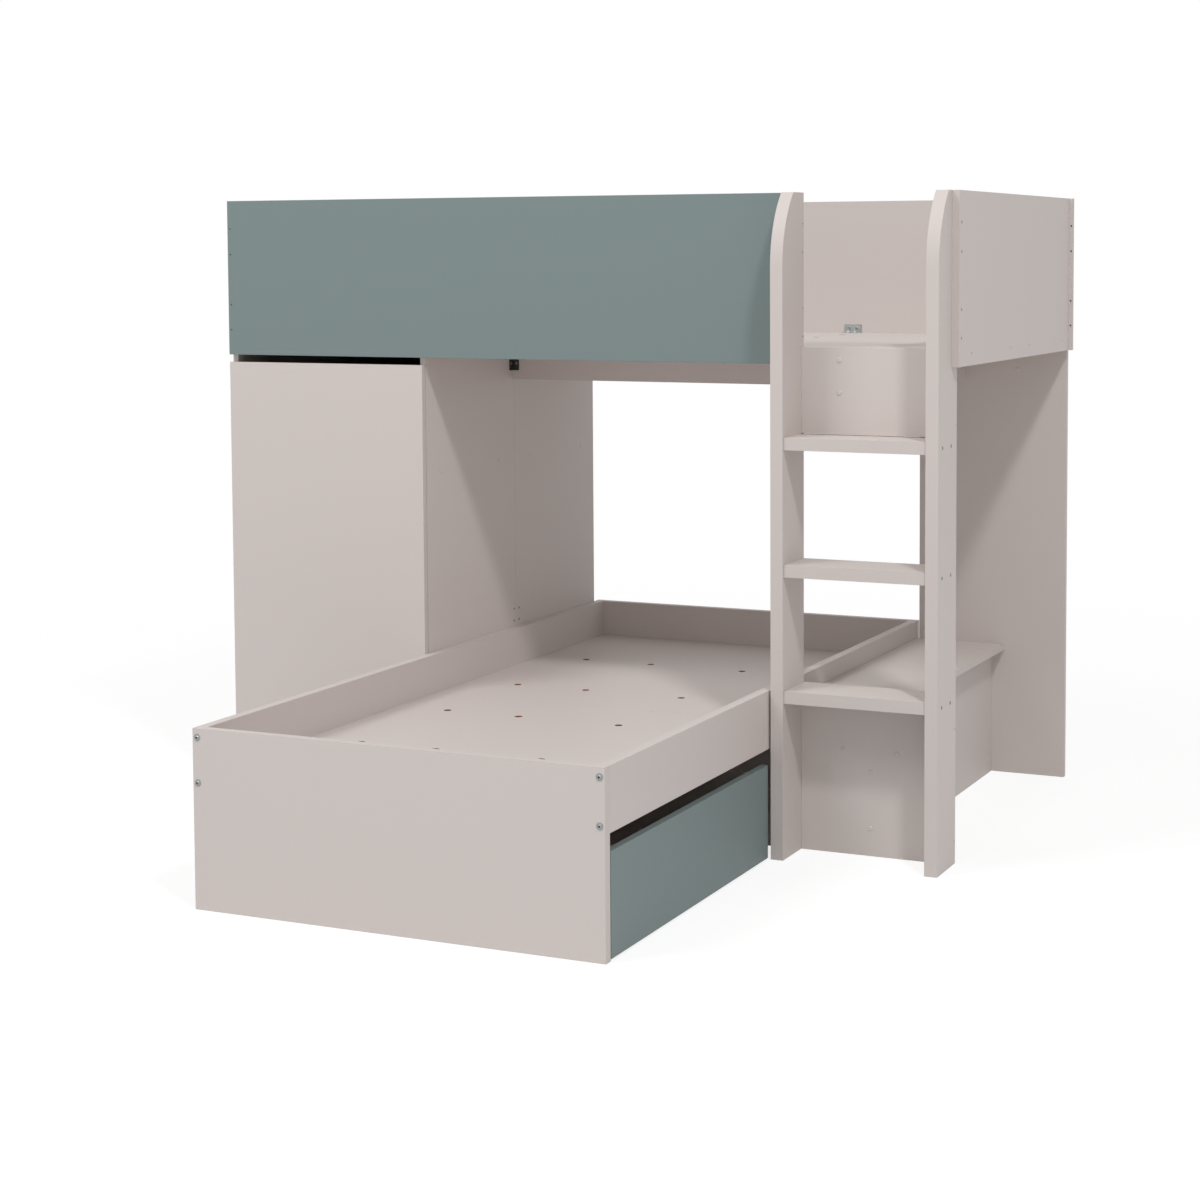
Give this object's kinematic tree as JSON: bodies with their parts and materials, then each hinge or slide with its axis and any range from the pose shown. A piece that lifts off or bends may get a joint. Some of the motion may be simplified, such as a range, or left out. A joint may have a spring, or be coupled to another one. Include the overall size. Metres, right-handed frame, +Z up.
{
  "type": "l shaped bunk bed",
  "caption": "L shaped bunk bed: guarded upper bed over a wardrobe, lower bed set crosswise with a rolling drawer, ladder between curved stiles and a low side box.",
  "frame": {"origin": "middle of the footprint's bounding box, on the floor", "axes": "+X along the upper bed from the wardrobe to the ladder, +Y from the lower bed's foot to the rear, +Z up"},
  "size_m": [2.0668, 2.059, 1.6],
  "materials": {
    "greige_board": "melamine faced board, satin matt",
    "teal_board": "melamine faced board, satin matt",
    "pine_batten": "planed pine",
    "white_hardboard": "painted hardboard",
    "zinc_steel": "bright zinc plated",
    "grey_plastic": "moulded, matt",
    "greige_plastic": "moulded, satin"
  },
  "bodies": {
    "bed_frame": {"upper_front_guard": "teal_board", "upper_left_end": "greige_board", "upper_right_end": "greige_board", "upper_rear_guard": "greige_board", "upper_platform_left": "greige_board", "upper_platform_right": "greige_board", "platform_mid_rail": "greige_board", "platform_cross_bearer": "greige_board", "upper_front_cleats": "pine_batten", "upper_rear_cleats": "pine_batten", "ladder_stile_left": "greige_board", "ladder_stile_right": "greige_board", "ladder_rung_lower": "greige_board", "ladder_rung_middle": "greige_board", "ladder_rung_upper": "greige_board", "ladder_top_panel": "greige_board", "ladder_bottom_panel": "greige_board", "rear_support_panel": "greige_board", "low_box_side": "greige_board", "low_box_top": "greige_board", "low_box_divider": "greige_board", "low_box_cleat": "pine_batten", "wardrobe_left_front": "greige_board", "wardrobe_left_rear": "greige_board", "wardrobe_right_front": "greige_board", "wardrobe_right_rear": "greige_board", "wardrobe_bottom": "greige_board", "wardrobe_back": "white_hardboard", "wardrobe_shelves": "greige_board", "wardrobe_plinth": "greige_board", "hanging_rail": "zinc_steel", "hanging_rail_sockets": "zinc_steel", "side_joining_plates": "zinc_steel", "door_hinge_arms": "zinc_steel", "bed_foot_panel": "greige_board", "bed_head_panel": "greige_board", "bed_left_rail": "greige_board", "bed_right_rail": "greige_board", "bed_platform_foot": "greige_board", "bed_platform_head": "greige_board", "bed_cleats": "pine_batten", "bed_cross_panel": "greige_board", "bed_bolts": "zinc_steel", "bed_insert_nuts": "zinc_steel", "panel_screws": "zinc_steel", "cover_caps": "greige_plastic", "angle_brackets": "zinc_steel"},
    "door": {"wardrobe_door": "greige_board", "door_hinge_cups": "zinc_steel"},
    "hinge_links": {"door_hinge_links": "zinc_steel"},
    "drawer": {"drawer_front": "teal_board", "drawer_side_foot": "greige_board", "drawer_side_ladder": "greige_board", "drawer_back": "greige_board", "drawer_bottom": "white_hardboard", "castor_housings": "grey_plastic"},
    "wheel_1": {"castor_wheel_1": "grey_plastic"},
    "wheel_2": {"castor_wheel_2": "grey_plastic"},
    "wheel_3": {"castor_wheel_3": "grey_plastic"},
    "wheel_4": {"castor_wheel_4": "grey_plastic"}
  },
  "joints": [
    {"name": "wardrobe_door_hinge", "type": "hinge", "parent": "bed_frame", "child": "door", "pos_m": [-1.0293, -0.004, 0.6155], "axis": [0, 0, -1], "range_deg": [0, 90]},
    {"name": "hinge_link_turn", "type": "hinge", "parent": "bed_frame", "child": "hinge_links", "pos_m": [-0.9841, 0.0154, 0.6155], "axis": [0, 0, 1], "range_deg": [0, 20.3]},
    {"name": "drawer_slide", "type": "slide", "parent": "bed_frame", "child": "drawer", "axis": [1, 0, 0], "range_m": [0, 0.6]},
    {"name": "castor_wheel_1_roll", "type": "hinge", "parent": "drawer", "child": "wheel_1", "pos_m": [0.4967, -0.917, 0.02], "axis": [0, 1, 0], "range_deg": [0, 1719]},
    {"name": "castor_wheel_2_roll", "type": "hinge", "parent": "drawer", "child": "wheel_2", "pos_m": [0.4967, -0.2183, 0.02], "axis": [0, 1, 0], "range_deg": [0, 1719]},
    {"name": "castor_wheel_3_roll", "type": "hinge", "parent": "drawer", "child": "wheel_3", "pos_m": [-0.2433, -0.917, 0.02], "axis": [0, 1, 0], "range_deg": [0, 1719]},
    {"name": "castor_wheel_4_roll", "type": "hinge", "parent": "drawer", "child": "wheel_4", "pos_m": [-0.2433, -0.2183, 0.02], "axis": [0, 1, 0], "range_deg": [0, 1719]}
  ],
  "couplings": [
    {"joint": "hinge_link_turn", "follows": "wardrobe_door_hinge", "ratio": 0.225},
    {"joint": "castor_wheel_1_roll", "follows": "drawer_slide", "rad_per_m": 50},
    {"joint": "castor_wheel_2_roll", "follows": "drawer_slide", "rad_per_m": 50},
    {"joint": "castor_wheel_3_roll", "follows": "drawer_slide", "rad_per_m": 50},
    {"joint": "castor_wheel_4_roll", "follows": "drawer_slide", "rad_per_m": 50}
  ]
}
